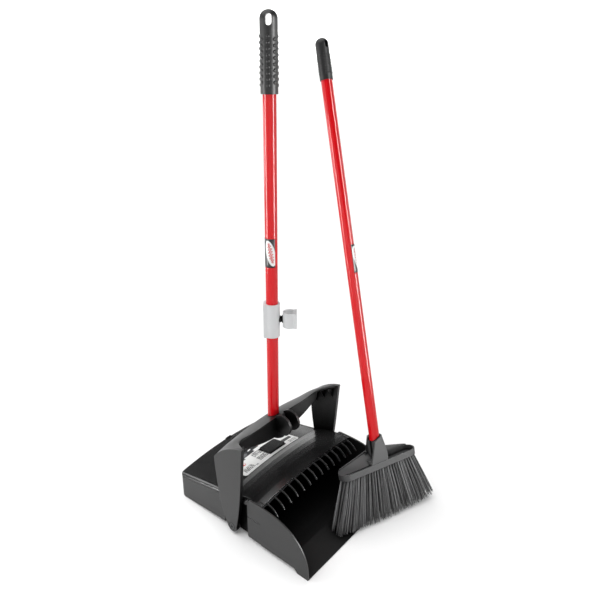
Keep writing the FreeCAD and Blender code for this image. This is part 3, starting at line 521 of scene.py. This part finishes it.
def bristle_row(number, ground, material):
    """One row of flared tufts, each a bundle of fine strands with uneven tips."""
    node = f"bristle_row_{number}"
    local = local_points(node, BROOM)
    top = local[:, 2].max() - 2 * MM
    roots = local[local[:, 2] > top - 1.5 * MM]
    ends = local[local[:, 2] < local[:, 2].min() + 20 * MM]
    root_low = roots[:, 0].min() + 2.5 * MM
    root_high = roots[:, 0].max() - 2.5 * MM
    fan = (ends[:, 0].max() - 3 * MM) / root_high
    root_y, end_y = roots[:, 1].mean(), ends[:, 1].mean()
    points, faces, shades = [], [], []
    tufts, strands, bends = 26, 14, 6
    tip_rise, root_spread, ground_gap = 6 * MM, 1.5 * MM, 1.2 * MM
    tip_spread = Vector((4.3, 4.0, 0)) * MM
    for tuft in range(tufts):
        x = root_low + (root_high - root_low) * tuft / (tufts - 1)
        root = Vector((x, root_y, top + 3 * MM))
        tip = Vector((x * fan + random.gauss(0, 0.8) * MM, end_y, tip_rise * (x / root_high) ** 2))
        tuft_shade = random.uniform(0.1, 0.9)
        for _ in range(strands):
            turn = random.uniform(0, 2 * math.pi)
            out = math.sqrt(random.random())
            side = Vector((math.cos(turn), math.sin(turn), 0)) * out
            start = root + side * root_spread
            spread = Vector((side.x * tip_spread.x, side.y * tip_spread.y, 0))
            end = tip + spread + spread_out(0.8, 1.2)
            end.z += abs(random.gauss(0, 1.6)) * MM
            bow = spread_out(0.7, 1.0)
            way = BROOM @ end - BROOM @ start
            hit = ground.ray_cast(BROOM @ start, way.normalized(), way.length + 2 * MM)[3]
            reach = min(way.length, hit - ground_gap) / way.length if hit else 1.0
            line = []
            for step in range(bends + 1):
                share = reach * step / bends
                wave = math.sin(math.pi * share) * (0.6 + 0.4 * math.sin(5 * share + turn))
                line.append(BROOM @ (start.lerp(end, share) + bow * wave))
            shade = min(max(tuft_shade + random.gauss(0, 0.35), 0), 1)
            fibre(points, faces, shades, line, random.uniform(0.7, 0.9) * MM, shade)
    piece = mesh_object(f"bristles_{number}", points, faces)
    layer = piece.data.attributes.new("shade", "FLOAT", "POINT")
    layer.data.foreach_set("value", shades)
    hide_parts(node)
    return finish_piece(piece, material, "broom")


# ---------------------------------------------------------------- grips

def grip_studs(name, body, material, place, radius, low, high, columns, pitch, size, height,
               start=0.0):
    """Low rounded studs in staggered columns round a grip."""
    sunk = 0.15 * MM
    points, faces = [], []
    rows = int((high - low) / pitch)
    rings, around = 4, 12
    for column in range(columns):
        turn = start + 2 * math.pi * column / columns
        for row in range(rows + 1 - column % 2):
            middle = low + (row + 0.5 * (column % 2)) * pitch
            first = len(points)
            for ring in range(rings + 1):
                share = ring / rings
                lift = height * math.cos(share * math.pi / 2) ** 0.7
                out = radius + lift - sunk
                for step in range(around):
                    angle = 2 * math.pi * step / around
                    side = share * size[0] * math.cos(angle) / radius
                    up = share * size[1] * math.sin(angle)
                    points.append(place @ Vector((out * math.cos(turn + side),
                                                  out * math.sin(turn + side), middle + up)))
            for ring in range(rings):
                for step in range(around):
                    here = first + ring * around + step
                    after = first + ring * around + (step + 1) % around
                    faces.append((here, after, after + around, here + around))
    piece = mesh_object(name, points, faces)
    return finish_piece(piece, material, body)


# ---------------------------------------------------------------- dressing the object

pan_black = shell_plastic("pan_plastic", "pan_shell", (0.008, 0.008, 0.0083), 0.42,
                          skin=9 * MM, inner_light_share=0.5).material
bail_black = shell_plastic("bail_plastic", "bail", (0.009, 0.009, 0.0093), 0.36,
                           skin=1 * MM, inner_light_share=1.0).material
hood_black = moulded("hood_plastic", (0.007, 0.007, 0.0072), 0.24, grain=700, depth=0.004 * MM,
                     edge=0.9 * MM, amount=0.1, bump=0.04, shade_reach=50 * MM).material
comb_black = moulded("comb_plastic", (0.03, 0.03, 0.031), 0.3, depth=0.02 * MM, edge=0.5 * MM,
                     amount=0.1, bump=0.1, shade_reach=0).material
head_grey = head_plastic().material
grip_black = moulded("grip_plastic", (0.006, 0.006, 0.0063), 0.42, 0.4, grain=1500, edge=0.5 * MM,
                     shade_reach=4 * MM).material
clip_grey = moulded("clip_plastic", (0.6, 0.607, 0.614), 0.4, depth=0.02 * MM, edge=0.5 * MM,
                    amount=0.04, bump=0.2, shade_reach=0).material
neck_black = moulded("neck_rubber", (0.008, 0.008, 0.0085), 0.5, 0.3, depth=0.03 * MM,
                     edge=0.4 * MM).material
screw_black = moulded("black_screw", (0.02, 0.02, 0.021), 0.3, 0.6, grain=1800, depth=0.02 * MM,
                      edge=0.3 * MM, bump=0.2, shade_reach=3 * MM).material
red = red_coat().material
zinc = steel().material
fibres = fibre_material().material
label = lid_label().material

DRESS = {
    "pan_shell": pan_black, "bail": bail_black, "hood_cover": hood_black, "hood_comb": comb_black,
    "pivot_screws": screw_black, "hood_label": label, "pan_tube": red, "broom_tube": red,
    "pan_grip": grip_black, "broom_grip": grip_black, "clip_sleeve": clip_grey, "broom_clip": clip_grey,
    "clip_neck": neck_black, "clip_screw": zinc, "socket_screw": zinc, "broom_head_screw": zinc,
    "broom_head": head_grey,
}
for node, material in DRESS.items():
    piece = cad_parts[node]
    for slot in piece.material_slots:
        slot.material = material

curved_sticker("pan_tube_sticker", "tube_sticker", HANDLE, TUBE_RADIUS,
               tube_print("tube_sticker_print", 8.5).material, "bail_and_handle")
broom_tube = local_points("broom_tube", BROOM)
curved_sticker("broom_tube_sticker", "broom_sticker", BROOM, outer_radius(broom_tube),
               tube_print("broom_sticker_print", -4).material, "broom")

ground = ground_below()
for number in range(1, 5):
    bristle_row(number, ground, fibres)

grip_low, grip_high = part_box("pan_grip")
grip_studs("pan_grip_studs", "bail_and_handle", grip_black, HANDLE, (grip_high.x - grip_low.x) / 2,
           low=grip_low.z + 14 * MM, high=grip_low.z + 92 * MM, columns=8, pitch=9.4 * MM,
           size=(3.4 * MM, 3.3 * MM), height=1.5 * MM, start=math.radians(-145))
broom_grip = local_points("broom_grip", BROOM)
broom_grip_low = broom_grip[:, 2].min()
grip_studs("broom_grip_studs", "broom", grip_black, BROOM, outer_radius(broom_grip),
           low=broom_grip_low + 10 * MM, high=broom_grip_low + 50 * MM, columns=12, pitch=4.6 * MM,
           size=(1.7 * MM, 1.5 * MM), height=0.9 * MM)


# ---------------------------------------------------------------- floor, light and camera

STAGE_WHITE = (0.9, 0.9, 0.9)


def build_floor():
    """A wide pale floor that glows faintly, and four white walls far away round it."""
    half, drop, far, tall = 60.0, 0.4 * MM, 58.0, 15.0
    square = ((-1, -1), (1, -1), (1, 1), (-1, 1))
    floor = mesh_object("floor", [(x * half, y * half, -drop) for x, y in square],
                        [(0, 1, 2, 3)], smooth=False)
    shader = Shader("pale_floor", STAGE_WHITE, 0.6, 0.2)
    shader.surface.inputs["Emission Color"].default_value = (1, 1, 1, 1)
    shader.surface.inputs["Emission Strength"].default_value = 0.06
    shader.relief(shader.noise(40, 2), 0.05, 0.1 * MM)
    floor.data.materials.append(shader.material)
    sides = [(side, (side + 1) % 4, (side + 1) % 4 + 4, side + 4) for side in range(4)]
    wall = mesh_object("far_walls", [(x * far, y * far, z) for z in (0, tall) for x, y in square],
                       sides, smooth=False)
    paint = Shader("white_wall", STAGE_WHITE, 0.8, 0.1)
    paint.surface.inputs["Emission Color"].default_value = (1, 1, 1, 1)
    paint.surface.inputs["Emission Strength"].default_value = 0.8
    wall.data.materials.append(paint.material)


def gloss_box(name, place, aim, width, height, power):
    """A rectangular lamp that shows only in reflections."""
    lamp = bpy.data.lights.new(name, "AREA")
    lamp.shape = "RECTANGLE"
    lamp.size = width
    lamp.size_y = height
    lamp.energy = power
    holder = bpy.data.objects.new(name, lamp)
    holder.location = place
    holder.visible_camera = False
    holder.visible_diffuse = False
    holder.rotation_euler = (Vector(aim) - Vector(place)).to_track_quat("-Z", "Y").to_euler()
    bpy.context.scene.collection.objects.link(holder)


def build_light():
    """A large soft light overhead, a small box for the lid's edge and two strips for the tubes."""
    toward_light = Vector((-0.22, 0.26, 0.94))
    world = bpy.data.worlds.new("studio")
    bpy.context.scene.world = world
    world.use_nodes = True
    background = world.node_tree.nodes["Background"]
    background.inputs["Color"].default_value = (1, 1, 1, 1)
    background.inputs["Strength"].default_value = 0.12
    lamp = bpy.data.lights.new("overhead", "SUN")
    lamp.energy = 3.3
    lamp.angle = math.radians(80)
    overhead = bpy.data.objects.new("overhead", lamp)
    overhead.rotation_euler = toward_light.to_track_quat("Z", "Y").to_euler()
    bpy.context.scene.collection.objects.link(overhead)
    gloss_box("left_strip", (-0.736, 0.585, 0.52), (0, 0, 0.52), 0.28, 0.64, 11)
    gloss_box("rim_box", (-0.2, 0.9, 0.62), (0, 0, 0.2), 0.4, 0.3, 1.8)
    gloss_box("right_strip", (0.36, -1.21, 0.85), (0, 0, 0.85), 0.2, 1.3, 38)


def build_camera():
    """The view from above the pan's front left corner."""
    azimuth = math.radians(-50.43)
    elevation = math.radians(22.9)
    roll = math.radians(0.47)
    target = Vector((0.3268, 0.2371, 0.3))
    distance = 1.5425
    back = Vector((math.sin(azimuth) * math.cos(elevation), -math.cos(azimuth) * math.cos(elevation),
                   math.sin(elevation)))
    level = Vector((math.cos(azimuth), math.sin(azimuth), 0))
    rise = back.cross(level)
    right = level * math.cos(roll) + rise * math.sin(roll)
    up = rise * math.cos(roll) - level * math.sin(roll)
    camera = bpy.data.objects.new("camera", bpy.data.cameras.new("camera"))
    turned = Matrix((right, up, back)).transposed().to_4x4()
    camera.matrix_world = Matrix.Translation(target + back * distance) @ turned
    camera.data.sensor_width = 36
    camera.data.lens = 34.8
    bpy.context.scene.collection.objects.link(camera)
    bpy.context.scene.camera = camera


build_floor()
build_light()
build_camera()
bpy.context.scene.view_settings.view_transform = "Standard"
